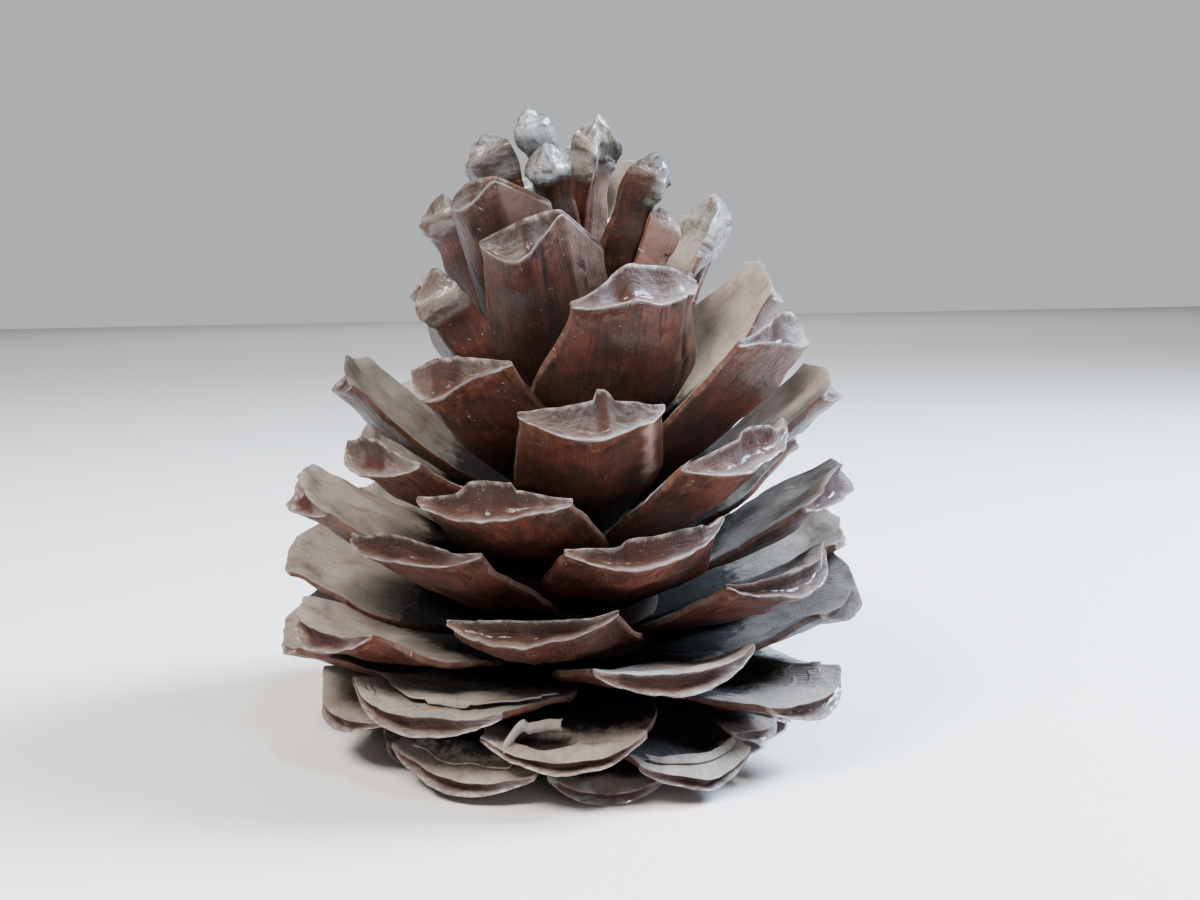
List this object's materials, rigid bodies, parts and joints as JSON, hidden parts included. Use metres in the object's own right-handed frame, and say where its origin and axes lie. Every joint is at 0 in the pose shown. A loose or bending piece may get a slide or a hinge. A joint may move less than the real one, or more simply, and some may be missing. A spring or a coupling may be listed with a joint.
{
  "type": "pine cone",
  "caption": "Open dry pine cone that stands on its stalk end, with wide woody scales set in a spiral round a central axis and a crown of narrow scales at the tip.",
  "frame": {"origin": "middle of the cut stalk end, on the surface that the cone stands on", "axes": "+Z along the cone's axis to its tip; the picture's camera looks along +Y"},
  "size_m": [0.0912, 0.0893, 0.0935],
  "materials": {
    "cone_scales": "dry wood, satin brown under the scales, grey and matt on top"
  },
  "bodies": {
    "root": {"cone": "cone_scales"}
  },
  "joints": []
}
